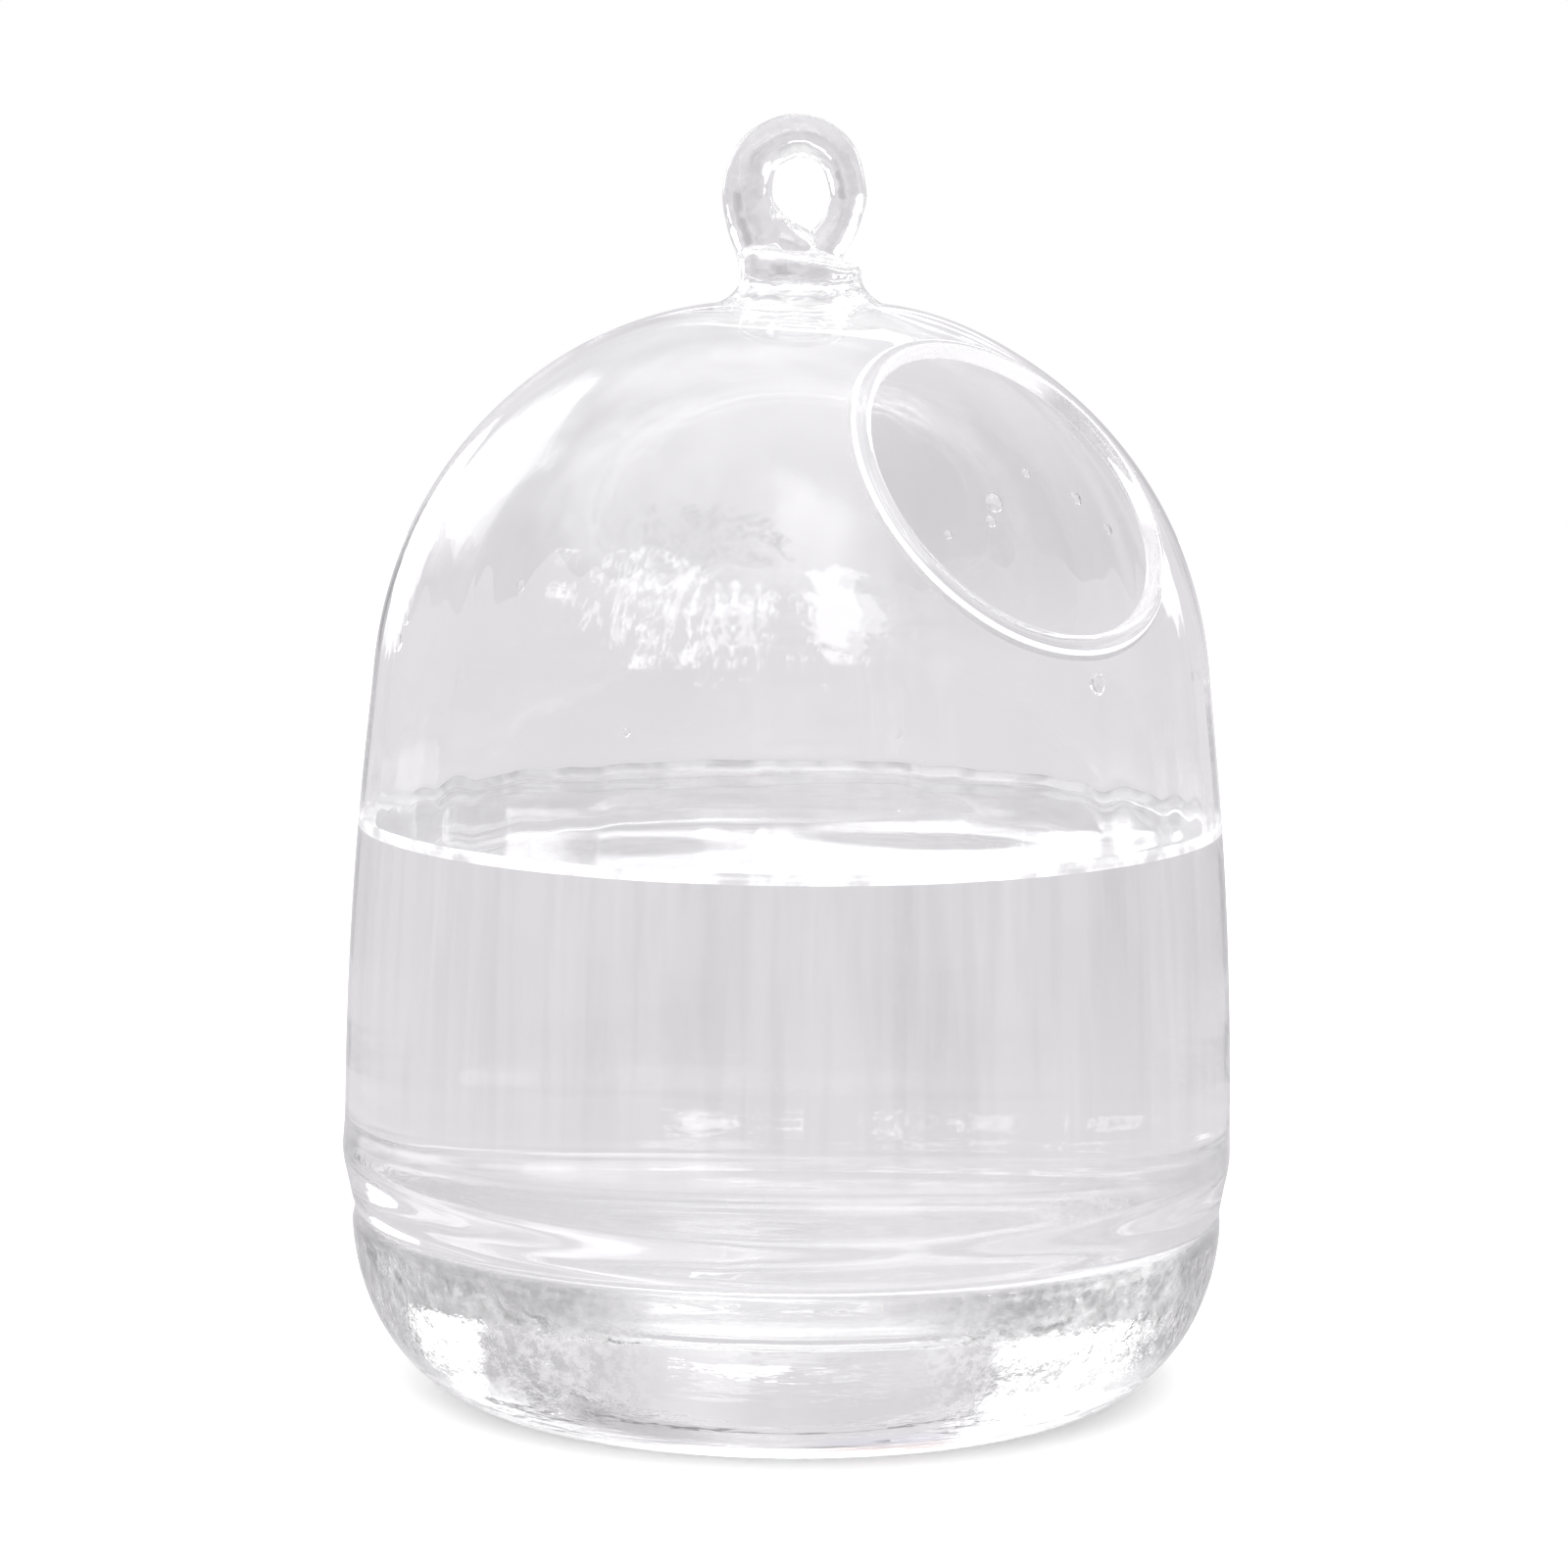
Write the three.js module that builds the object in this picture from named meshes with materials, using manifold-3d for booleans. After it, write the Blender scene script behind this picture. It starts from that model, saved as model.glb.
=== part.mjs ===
// A hanging fish bowl of clear hot-worked glass, partly filled with water.
// Millimetres, +Z up. The foot stands on Z = 0 and the bowl's axis is the Z axis. The side mouth faces
// the front right (+X, -Y), and the bent glass eye that the bowl hangs by stands on top.
import * as THREE from "three";
import { mergeVertices } from "three/addons/utils/BufferGeometryUtils.js";
import Module from "manifold-3d";

// Base: a thick foot of solid glass, flat below and dished above
const footDiameter = 114;
const baseDiameter = 147.5;
const baseHeight = 30;
const dishDepth = 10;
const dishCornerWidth = 14;

// Wall and dome: blown glass that stands on the rim of the base. Each rise starts where the last one ends.
const wallThickness = 2.6;
const seamRise = 0.8;
const bellyRise = 9.7;
const bellyDiameter = 150;
const shoulderRise = 81;
const shoulderDiameter = 140.3;
const shoulderLean = 0.09; // millimetres inwards for each one upwards
const domeRise = 61;

// Side mouth: a round hole with a bead melted round its edge
const mouthDiameter = 55.6;
const beadDiameter = 4;
const mouthAzimuth = -45.2; // degrees from +X, turning towards +Y
const mouthElevation = 40.4; // degrees above level
const mouthAxisDrop = 11.6; // from the shoulder down to where the mouth's axis crosses the bowl's axis

// Hanger: a round glass cane bent into an eye, with both ends on the neck
const neckOffset = 1; // the neck stands a little off the bowl's axis, towards +X
const eyeOffset = -0.75; // and the eye a little back from the middle of the neck
const caneDiameter = 7;
const eyeWidth = 9.6;
const eyeCentreRise = 11.3; // above the top of the neck
const caneEndGap = 0.5;
const caneEndLength = 1; // each end stands straight on the neck before it bends

// Neck: a solid stub of glass in the middle of the dome
const neckLedge = 0.8; // flat glass left outside the cane's ends
const neckEdgeRadius = 1.2;
const neckStraightHeight = 2.8;
const neckFlareHeight = 4.5;
const neckFlareWidth = 3;
const neckFootEdge = 0.4;

// Water, from the floor of the dish up to its level surface
const waterDepth = 75;

// Clearance between pieces that touch at curved faces
const clearance = 0.3;

// How full the curves are: each handle's length as a share of the stretch that it bends
const quarterHandle = 0.5523; // gives a quarter circle
const seamHandle = 0.4;
const bellyHandle = 0.53;
const shoulderHandleBelow = 0.14;
const shoulderHandleAbove = 0.62;
const crownHandle = 0.4;
const crownDrop = 0.035;
const footHandle = 0.13;
const rimHandle = 0.5;
const neckFootHandle = 0.6;
const neckFootLift = 0.1;
const neckWaistHandle = 0.5;
const caneHandleLow = 0.3;
const caneHandleHigh = 0.55;

// Fineness of the faceted surfaces
const turnSegments = 60;
const beadSegments = 48;
const beadSides = 10;
const neckSegments = 32;
const caneSteps = 40;
const caneSides = 12;
const bendSteps = 6;
const domeSteps = 10;
const aimSteps = 24;
const aimTolerance = 0.001;

const baseRadius = baseDiameter / 2;
const floorHeight = baseHeight - dishDepth;
const waterHeight = floorHeight + waterDepth;
const seamHeight = baseHeight + seamRise;
const bellyHeight = seamHeight + bellyRise;
const shoulderHeight = bellyHeight + shoulderRise;
const domeHeight = shoulderHeight + domeRise;
const ringRadius = (mouthDiameter + beadDiameter) / 2;
const caneFootRadius = caneDiameter + caneEndGap / 2 + Math.abs(eyeOffset);
const neckRadius = caneFootRadius + neckLedge + neckEdgeRadius;
const neckFootRadius = neckRadius + neckFlareWidth;
const neckHeight = neckFlareHeight + neckStraightHeight + neckEdgeRadius;
const seatRadius = neckFootRadius + Math.abs(neckOffset);

const clearGlass = new THREE.MeshStandardMaterial({
  color: 0xe4e3e6,
  roughness: 0.03,
  metalness: 0,
  transparent: true,
  opacity: 0.35,
});
const clearWater = new THREE.MeshStandardMaterial({
  color: 0xe6e8ec,
  roughness: 0.02,
  metalness: 0,
  transparent: true,
  opacity: 0.3,
});

const wasm = await Module();
wasm.setup();

const at = (x, y) => new THREE.Vector2(x, y);

// Points of a smooth bend between two ends. Each handle is a step from its own end.
function bend(from, handle, farHandle, to, steps) {
  return new THREE.CubicBezierCurve(
    from,
    from.clone().add(handle),
    to.clone().add(farHandle),
    to,
  ).getPoints(steps);
}

// An outline moved to its left by a distance, square to its own direction.
function inset(points, distance) {
  return points.map((point, i) => {
    const before = points[Math.max(i - 1, 0)];
    const after = points[Math.min(i + 1, points.length - 1)];
    const along = after.clone().sub(before).normalize();
    return at(point.x - along.y * distance, point.y + along.x * distance);
  });
}

// The radius of an outline that rises all the way, at a height.
function radiusAt(points, height) {
  const above = Math.max(
    points.findIndex((point) => point.y >= height),
    1,
  );
  const [low, high] = [points[above - 1], points[above]];
  return low.x + ((high.x - low.x) * (height - low.y)) / (high.y - low.y);
}

// Turns an outline, radius by height, about the Z axis.
function turned(points, segments) {
  return new THREE.LatheGeometry(points, segments).rotateX(Math.PI / 2);
}

function solidOf(geometry) {
  const bare = geometry.clone();
  bare.deleteAttribute("normal");
  bare.deleteAttribute("uv");
  const merged = mergeVertices(bare);
  return new wasm.Manifold(
    new wasm.Mesh({
      numProp: 3,
      vertProperties: merged.attributes.position.array,
      triVerts: new Uint32Array(merged.index.array),
    }),
  );
}

function geometryOf(solid) {
  const { vertProperties, triVerts } = solid.getMesh();
  const geometry = new THREE.BufferGeometry();
  geometry.setAttribute("position", new THREE.BufferAttribute(vertProperties, 3));
  geometry.setIndex(new THREE.BufferAttribute(triVerts, 1));
  geometry.computeVertexNormals();
  return geometry;
}

function named(name, geometry, material) {
  const mesh = new THREE.Mesh(geometry, material);
  mesh.name = name;
  return mesh;
}

// The outside of the wall and dome, from the rim of the base up to the seat of the neck.
function bodyOutline() {
  const seam = at(baseRadius, seamHeight);
  const belly = at(bellyDiameter / 2, bellyHeight);
  const shoulder = at(shoulderDiameter / 2, shoulderHeight);
  const seat = at(seatRadius, domeHeight);
  const flare = bellyRise * seamHandle;
  const leaning = (height) => at(-shoulderLean * height, height);
  const crown = at((shoulder.x - seat.x) * crownHandle, -domeRise * crownDrop);
  const lower = bend(seam, at(0, flare), at(0, -flare), belly, bendSteps / 2);
  const wall = bend(
    belly,
    at(0, shoulderRise * bellyHandle),
    leaning(-shoulderRise * shoulderHandleBelow),
    shoulder,
    bendSteps,
  );
  const dome = bend(shoulder, leaning(domeRise * shoulderHandleAbove), crown, seat, domeSteps);
  const foot = at(baseRadius, baseHeight);
  return [foot, ...lower, ...wall.slice(1), ...dome.slice(1), at(0, domeHeight)];
}

// The dished top of the base, from the axis out to the inside of the wall.
function floorOutline() {
  const edge = at(baseRadius - wallThickness, baseHeight);
  const flat = at(edge.x - dishCornerWidth, floorHeight);
  const corner = bend(
    flat,
    at(dishCornerWidth * quarterHandle, 0),
    at(0, -dishDepth * quarterHandle),
    edge,
    bendSteps,
  );
  return [at(0, floorHeight), ...corner];
}

function base() {
  const foot = at(footDiameter / 2, 0);
  const rim = at(baseRadius, baseHeight);
  const corner = bend(
    foot,
    at((rim.x - foot.x) * quarterHandle, baseHeight * footHandle),
    at(0, -baseHeight * rimHandle),
    rim,
    bendSteps + 2,
  );
  const outline = [at(0, 0), ...corner, ...floorOutline().reverse()];
  return named("base", turned(outline, turnSegments), clearGlass);
}

// How far a point inside the bowl has to go in a direction to meet the wall's outline.
function reachOfWall(start, direction, outline) {
  let near = 0;
  let far = domeHeight;
  while (far - near > aimTolerance) {
    const middle = (near + far) / 2;
    const point = start.clone().addScaledVector(direction, middle);
    const below = point.z < outline.at(-1).y;
    const inside = below && Math.hypot(point.x, point.y) < radiusAt(outline, point.z);
    if (inside) near = middle;
    else far = middle;
  }
  return near;
}

// The mouth's own place: its origin is the middle of the bead's ring and its +Z is the mouth's axis.
function mouthPlace() {
  const place = new THREE.Group();
  const elevation = THREE.MathUtils.degToRad(mouthElevation);
  const azimuth = THREE.MathUtils.degToRad(mouthAzimuth);
  place.rotation.set(0, Math.PI / 2 - elevation, azimuth, "ZYX");
  const axis = new THREE.Vector3(0, 0, 1).applyEuler(place.rotation);
  const origin = new THREE.Vector3(0, 0, shoulderHeight - mouthAxisDrop);
  const midWall = inset(bodyOutline(), wallThickness / 2);
  let sum = 0;
  for (let i = 0; i < aimSteps; i++) {
    const turn = (i / aimSteps) * Math.PI * 2;
    const start = new THREE.Vector3(Math.cos(turn), Math.sin(turn), 0)
      .multiplyScalar(ringRadius)
      .applyEuler(place.rotation)
      .add(origin);
    sum += reachOfWall(start, axis, midWall);
  }
  place.position.copy(origin).addScaledVector(axis, sum / aimSteps);
  return place;
}

function mouthLip() {
  const ring = new THREE.TorusGeometry(ringRadius, beadDiameter / 2, beadSides, beadSegments);
  return named("mouth_lip", ring, clearGlass);
}

// Wall and dome are blown as one shell. It is cut back round the mouth, so that its edge holds the bead,
// and the two meet level at the shoulder.
function wallAndDome(mouth) {
  const outside = bodyOutline();
  const inside = inset(outside, wallThickness).reverse();
  const holeRadius = ringRadius + beadDiameter / 2 + clearance;
  const hole = new THREE.CylinderGeometry(holeRadius, holeRadius, 2 * ringRadius, beadSegments)
    .rotateX(Math.PI / 2)
    .applyMatrix4(mouth.matrixWorld);
  const shell = solidOf(turned([...inside, ...outside], turnSegments)).subtract(solidOf(hole));
  const [above, below] = shell.splitByPlane([0, 0, 1], shoulderHeight);
  return [
    named("body_wall", geometryOf(below), clearGlass),
    named("dome", geometryOf(above), clearGlass),
  ];
}

function neck() {
  const flare = bend(
    at(neckFootRadius, neckFootEdge),
    at(-neckFlareWidth * neckFootHandle, neckFlareHeight * neckFootLift),
    at(0, -neckFlareHeight * neckWaistHandle),
    at(neckRadius, neckFlareHeight),
    bendSteps - 1,
  );
  const edge = bend(
    at(neckRadius, neckHeight - neckEdgeRadius),
    at(0, neckEdgeRadius * quarterHandle),
    at(neckEdgeRadius * quarterHandle, 0),
    at(neckRadius - neckEdgeRadius, neckHeight),
    bendSteps / 2,
  );
  const outline = [at(0, 0), at(neckFootRadius, 0), ...flare, ...edge, at(0, neckHeight)];
  return named("neck", turned(outline, neckSegments), clearGlass);
}

// The cane's middle line: up from one end, round the eye and down to the other end.
function canePath() {
  const endX = (caneDiameter + caneEndGap) / 2;
  const sideX = (eyeWidth + caneDiameter) / 2;
  const topHeight = eyeCentreRise + sideX;
  const round = sideX * quarterHandle;
  const half = (side) => {
    const point = (x, z) => new THREE.Vector3(side * x, 0, z);
    const foot = point(endX, caneEndLength);
    const widest = point(sideX, eyeCentreRise);
    const low = point(endX, eyeCentreRise * caneHandleLow);
    const high = point(sideX, eyeCentreRise * (1 - caneHandleHigh));
    return [
      [point(endX, 0), foot],
      [foot, low, high, widest],
      [widest, point(sideX, eyeCentreRise + round), point(round, topHeight), point(0, topHeight)],
    ];
  };
  const back = half(1)
    .reverse()
    .map((points) => points.reverse());
  const path = new THREE.CurvePath();
  path.curves = [...half(-1), ...back].map((points) =>
    points.length === 2 ? new THREE.LineCurve3(...points) : new THREE.CubicBezierCurve3(...points),
  );
  return path;
}

function hangerLoop() {
  const section = new THREE.Shape().absarc(0, 0, caneDiameter / 2, 0, Math.PI * 2);
  const cane = new THREE.ExtrudeGeometry(section, {
    steps: caneSteps,
    curveSegments: caneSides / 2,
    extrudePath: canePath(),
  });
  return named("hanger_loop", cane, clearGlass);
}

// Water fills the bowl from its dished floor up to a level surface, a clearance away from the glass.
function water() {
  const glass = inset(bodyOutline(), wallThickness + clearance);
  const wetFloor = inset(floorOutline(), clearance);
  const wetWall = glass.filter((point) => point.y > seamHeight && point.y < waterHeight);
  const surfaceRadius = radiusAt(glass, waterHeight);
  const outline = [...wetFloor, ...wetWall, at(surfaceRadius, waterHeight), at(0, waterHeight)];
  return named("water", turned(outline, turnSegments), clearWater);
}

const mouth = mouthPlace();
mouth.updateMatrixWorld(true);
mouth.add(mouthLip());

const hanger = new THREE.Group();
hanger.position.set(neckOffset, 0, domeHeight);
const loop = hangerLoop();
loop.position.set(eyeOffset, 0, neckHeight);
hanger.add(neck(), loop);

const bowl = new THREE.Group();
bowl.add(base(), ...wallAndDome(mouth), mouth, hanger, water());

export default bowl;
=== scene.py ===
"""A hanging fish bowl of clear hot-worked glass, partly filled with water.

Metres, +Z up. The bowl stands on Z = 0 with its axis on the Z axis, and the camera looks along +Y.
The fused glass is made of one closed piece for each gather. Where two pieces join, both end in a
hidden joint face, a hair apart, which lets light straight through, so that no line shows there. Behind
the mouth's bead the hidden faces are opaque instead, and glow as painted highlight lines.
"""

from math import cos, pi, radians, sin

import bmesh
import bpy
import numpy as np
from mathutils import Matrix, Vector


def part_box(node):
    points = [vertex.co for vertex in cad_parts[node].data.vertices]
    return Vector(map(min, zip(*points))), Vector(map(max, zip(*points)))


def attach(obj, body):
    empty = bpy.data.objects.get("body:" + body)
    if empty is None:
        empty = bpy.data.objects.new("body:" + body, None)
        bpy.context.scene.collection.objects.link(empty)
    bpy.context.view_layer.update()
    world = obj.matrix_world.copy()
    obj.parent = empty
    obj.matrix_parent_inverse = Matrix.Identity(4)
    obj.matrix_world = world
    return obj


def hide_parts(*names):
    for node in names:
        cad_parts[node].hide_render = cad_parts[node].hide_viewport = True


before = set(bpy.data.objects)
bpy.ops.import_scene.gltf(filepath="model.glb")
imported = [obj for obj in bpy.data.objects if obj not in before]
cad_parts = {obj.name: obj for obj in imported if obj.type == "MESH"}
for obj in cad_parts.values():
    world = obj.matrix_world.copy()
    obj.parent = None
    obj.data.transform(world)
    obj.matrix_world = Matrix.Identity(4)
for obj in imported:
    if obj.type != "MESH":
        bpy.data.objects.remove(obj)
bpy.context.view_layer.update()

MM = 0.001


def box_of(node):
    """The node's lowest and highest corners as two arrays."""
    low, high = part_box(node)
    return np.array(low), np.array(high)


# Sizes that the frame gives
base_high = box_of("base")[1]
wall_high = box_of("body_wall")[1]
dome_low, dome_high = box_of("dome")
lip_low, lip_high = box_of("mouth_lip")
neck_low, neck_high = box_of("neck")
water_low, water_high = box_of("water")

BASE_RADIUS = base_high[0]
BASE_HEIGHT = base_high[2]
BELLY_RADIUS = wall_high[0]
SHOULDER_RADIUS = dome_high[0]
SHOULDER_HEIGHT = dome_low[2]
DOME_HEIGHT = dome_high[2]
LIP_CENTRE = (lip_low + lip_high) / 2
NECK_X = (neck_low[0] + neck_high[0]) / 2
NECK_FOOT_RADIUS = (neck_high[1] - neck_low[1]) / 2
NECK_TOP = neck_high[2]
WATER_HEIGHT = water_high[2]
SOLID_GAP = 0.3 * MM  # between two solids of the frame
FLOOR_HEIGHT = water_low[2] - SOLID_GAP

# Sizes that the solids were made with
FOOT_RADIUS = 57 * MM
WALL = 2.6 * MM
BELLY_HEIGHT = 40.5 * MM
DISH_CORNER = 14 * MM
SHOULDER_LEAN = 0.09
MOUTH_AZIMUTH = radians(-45.2)
MOUTH_ELEVATION = radians(40.4)
RING_RADIUS = 29.2 * MM
RING_LIFT = 0.8 * MM  # of the rim's middle, up the dome from the lip's own middle
RING_FLAT = 0.9 * MM  # by which the rim's lowest side is flatter than a circle
BEAD_RADIUS = 1.35 * MM
LIP_WIDTH = 1.7 * MM  # from the bead's middle out to where the lip joins the dome
SEAT_RADIUS = NECK_FOOT_RADIUS + 1 * MM
NECK_RADIUS = 10 * MM
WELD_HEIGHT = DOME_HEIGHT + 5.2 * MM  # where the loop's feet are welded to the neck

# How finely the meshes are made
TURN = 480  # points round the body
RIM = 240  # points round the mouth
HAIR = 0.002 * MM  # between the two hidden faces of a joint
SAME = 1e-8  # metres within which points are merged
QUARTER = 0.5523  # handle of a Bezier quarter circle, as a share of its radius

# How much glass and water bend light
GLASS_INDEX = 1.5
WATER_INDEX = 1.333


# Curves and grids


def bezier(points, count):
    """Cubic Bezier curve through count steps, closer together near both ends (half a cosine wave). Each
    of the four points may be an array of points, for as many curves."""
    p = np.array(points, float)
    t = (0.5 - 0.5 * np.cos(np.linspace(0, pi, count))).reshape(-1, *[1] * (p.ndim - 1))
    return (1 - t) ** 3 * p[0] + 3 * t * (1 - t) ** 2 * p[1] + 3 * t**2 * (1 - t) * p[2] + t**3 * p[3]


def line(start, end, count):
    """Evenly spaced points from start to end."""
    t = np.linspace(0, 1, count)[:, None]
    return np.array(start) * (1 - t) + np.array(end) * t


def joined(*runs):
    """Runs of points as one, without the point that two neighbours share."""
    return np.vstack([runs[0]] + [run[1:] for run in runs[1:]])


def inset(points, distance):
    """A profile moved to its left, square to its own direction, by the distance."""
    along = np.gradient(points, axis=0)
    along /= np.linalg.norm(along, axis=1)[:, None]
    return points + distance * np.c_[-along[:, 1], along[:, 0]]


def smooth(x):
    """Smooth step: 3x^2 - 2x^3, held at 0 and 1 outside."""
    x = np.clip(x, 0, 1)
    return x * x * (3 - 2 * x)


# The hand-blown unevenness of the body


def waves(theta, counts, slope, seed):
    """Sum of cosine waves round the body, count waves each, all with about the same steepest slope."""
    phases = np.random.default_rng(seed).uniform(0, 2 * pi, len(counts))
    sizes = slope * BELLY_RADIUS / np.array(counts)
    return sum(a * np.cos(n * theta + p) for a, n, p in zip(sizes, counts, phases))


def outside_bump(theta, height):
    """How far the outside leaves its round: a notch over the base and a sharp corner above it, both
    deepest at the left, and faint waves that run up the wall and fade at the base and the crown."""
    left = 0.35 + 0.65 * (0.5 - 0.5 * np.cos(theta))
    notch = -0.55 * MM * np.exp(-(((height - BASE_HEIGHT - 0.4 * MM) / (1.5 * MM)) ** 2))
    corner = 0.35 * MM * np.exp(-(((height - BELLY_HEIGHT) / (3.5 * MM)) ** 2))
    fade = smooth((height - BASE_HEIGHT) / (12 * MM)) * smooth((DOME_HEIGHT - height) / (30 * MM))
    return left * (notch + corner) + fade * waves(theta, (3, 5, 9, 17, 31), slope=0.0022, seed=4)


def inside_bump(theta, height):
    """How far the inside leaves its round: drawn streaks that run up the wall and fade at both ends."""
    fade = smooth((height - BASE_HEIGHT) / (10 * MM)) * smooth((DOME_HEIGHT - height) / (50 * MM))
    return fade * waves(theta, (4, 7, 12, 19, 27, 38, 53), slope=0.011, seed=9)


def turned(profile, bump=None, shift=None):
    """Turns a profile of radius and height about the Z axis. bump adds to the radius, and fades within
    8 mm of the axis. shift adds to X."""
    theta = np.linspace(0, 2 * pi, TURN, endpoint=False)[None, :]
    radius, height = profile[:, :1], profile[:, 1:]
    full = np.minimum(1, radius / (8 * MM))
    radius = radius + (0 if bump is None else full * bump(theta, height))
    x = radius * np.cos(theta) + (0 if shift is None else shift(profile[:, :1]))
    return np.stack([x, radius * np.sin(theta), height + 0 * theta], axis=2)


def crown_shift(radius):
    """How far a ring of the crown stands off the axis: all of the neck's offset at the seat, then less,
    and none from 40 mm out."""
    return NECK_X * smooth((40 * MM - radius) / (40 * MM - SEAT_RADIUS))


def neck_shift(radius):
    """How far a ring of the neck stands off the axis: the same for all."""
    return NECK_X + 0 * radius


# Meshes


class Shell:
    """Collects grids of points, each with its material, into one closed mesh."""

    def __init__(self):
        self.points = []
        self.quads = []
        self.materials = []
        self.count = 0

    def add(self, grid, material=0):
        """Adds a grid whose rows follow the profile and whose columns close on themselves."""
        rows, columns = grid.shape[:2]
        index = self.count + np.arange(rows * columns).reshape(rows, columns)
        turn = np.roll(index, -1, axis=1)
        quads = np.stack([index[:-1], turn[:-1], turn[1:], index[1:]], axis=2).reshape(-1, 4)
        self.points.append(grid.reshape(-1, 3))
        self.quads.append(quads)
        self.materials.append(np.full(len(quads), material))
        self.count += rows * columns

    def build(self, name, materials):
        """Merges points that coincide, drops the sides that this shrinks to nothing, and makes the mesh
        object."""
        points = np.vstack(self.points)
        quads = np.vstack(self.quads)
        slots = np.concatenate(self.materials)
        keys = np.round(points / SAME).astype(np.int64)
        _, first, merged = np.unique(keys, axis=0, return_index=True, return_inverse=True)
        quads = merged.reshape(-1)[quads]
        keep = quads != np.roll(quads, 1, axis=1)
        sides = keep.sum(axis=1)
        real = sides >= 3
        keep, sides, quads, slots = keep[real], sides[real], quads[real], slots[real]
        mesh = bpy.data.meshes.new(name)
        for material in materials:
            mesh.materials.append(material)
        mesh.vertices.add(len(first))
        mesh.vertices.foreach_set("co", points[first].ravel())
        mesh.loops.add(int(sides.sum()))
        mesh.loops.foreach_set("vertex_index", quads[keep])
        mesh.polygons.add(len(sides))
        mesh.polygons.foreach_set("loop_start", np.concatenate([[0], np.cumsum(sides)[:-1]]))
        mesh.polygons.foreach_set("material_index", slots)
        mesh.update(calc_edges=True)
        mesh.validate()
        return finished(mesh, name)


def finished(mesh, name):
    """Smooth shading with sharp real corners, on a new object."""
    mesh.polygons.foreach_set("use_smooth", np.ones(len(mesh.polygons), bool))
    mesh.set_sharp_from_angle(angle=radians(35))
    piece = bpy.data.objects.new(name, mesh)
    bpy.context.scene.collection.objects.link(piece)
    return piece


def applied(piece):
    """The piece's mesh with its modifiers applied. The piece itself is removed."""
    bpy.context.view_layer.update()
    mesh = bpy.data.meshes.new_from_object(
        piece.evaluated_get(bpy.context.evaluated_depsgraph_get())
    )
    mesh.name = piece.name
    bpy.data.objects.remove(piece)
    return mesh


# Shader maths


class Socket:
    """A shader value whose arithmetic adds Math nodes."""

    def __init__(self, tree, link):
        self.tree = tree
        self.link = link

    def math(self, operation, *values):
        """Adds a Math node that takes the values or sockets."""
        return self.tree.node("ShaderNodeMath", {"operation": operation}, dict(enumerate(values)))

    def __add__(self, other):
        return self.math("ADD", self, other)

    def __sub__(self, other):
        return self.math("SUBTRACT", self, other)

    def __rsub__(self, other):
        return self.math("SUBTRACT", other, self)

    def __mul__(self, other):
        return self.math("MULTIPLY", self, other)

    def __abs__(self):
        return self.math("ABSOLUTE", self)

    __radd__ = __add__
    __rmul__ = __mul__


class Tree:
    """A material's or world's nodes."""

    def __init__(self, owner):
        self.owner = owner
        owner.use_nodes = True
        self.nodes = owner.node_tree.nodes
        self.links = owner.node_tree.links
        self.nodes.clear()

    def node(self, kind, settings=None, values=None, out=0):
        """Adds a node: its settings first, then its sockets' values or links. The setting stops is a
        colour ramp's list of places and colours. Returns one output, or None where there are none."""
        node = self.nodes.new(kind)
        for name, value in (settings or {}).items():
            if name == "stops":
                ramp = node.color_ramp
                while len(ramp.elements) < len(value):
                    ramp.elements.new(0.5)
                for element, (place, tone) in zip(ramp.elements, value):
                    element.position = place
                    element.color = (*tone, 1)
            else:
                setattr(node, name, value)
        for name, value in (values or {}).items():
            socket = node.inputs[name]
            if isinstance(value, Socket):
                self.links.new(value.link, socket)
            else:
                socket.default_value = value
        return Socket(self, node.outputs[out]) if node.outputs else None

    def output(self, shader):
        """Links the shader to the output's surface."""
        world = isinstance(self.owner, bpy.types.World)
        self.node("ShaderNodeOutputWorld" if world else "ShaderNodeOutputMaterial", {}, {"Surface": shader})

    def place(self):
        """Where a point lies on its object, in metres."""
        return self.node("ShaderNodeTexCoord", out="Object")

    def axes(self, vector):
        """The vector's X, Y and Z."""
        x = self.node("ShaderNodeSeparateXYZ", {}, {"Vector": vector})
        return [Socket(self, output) for output in x.link.node.outputs]

    def stretched(self, vector, scale):
        """The vector with each axis times its scale, which draws a pattern out where it is under 1."""
        return self.node("ShaderNodeMapping", {}, {"Vector": vector, "Scale": scale})

    def noise(self, vector, scale, detail, roughness=0.5):
        """Noise of 0 to 1 with scale cells to a metre."""
        values = {"Vector": vector, "Scale": scale, "Detail": detail, "Roughness": roughness}
        return self.node("ShaderNodeTexNoise", {}, values)

    def ramp(self, value, stops):
        """A colour for each value, from stops of a value and its colour."""
        return self.node("ShaderNodeValToRGB", {"stops": stops}, {"Fac": value})

    def grey(self, value):
        """A number as a grey colour."""
        return self.node("ShaderNodeCombineColor", {}, {"Red": value, "Green": value, "Blue": value})

    def mixed(self, how, factor, under, over):
        """Two colours mixed: MIX, MULTIPLY or ADD. The factor is the share of the second one."""
        settings = {"data_type": "RGBA", "blend_type": how}
        return self.node("ShaderNodeMix", settings, {"Factor": factor, 6: under, 7: over}, out=2)

    def relief(self, height, distance):
        """The normal of a relief whose height of 1 stands for the distance."""
        return self.node("ShaderNodeBump", {}, {"Strength": 1.0, "Distance": distance, "Height": height})

    def principled(self, values):
        """Ends the material in one principled shader."""
        self.output(self.node("ShaderNodeBsdfPrincipled", {}, values))


def smooth_between(value, low, high):
    """Socket that rises smoothly from 0 at low to 1 at high."""
    return value.tree.node(
        "ShaderNodeMapRange",
        {"interpolation_type": "SMOOTHSTEP"},
        {"Value": value, "From Min": low, "From Max": high},
    )


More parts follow.
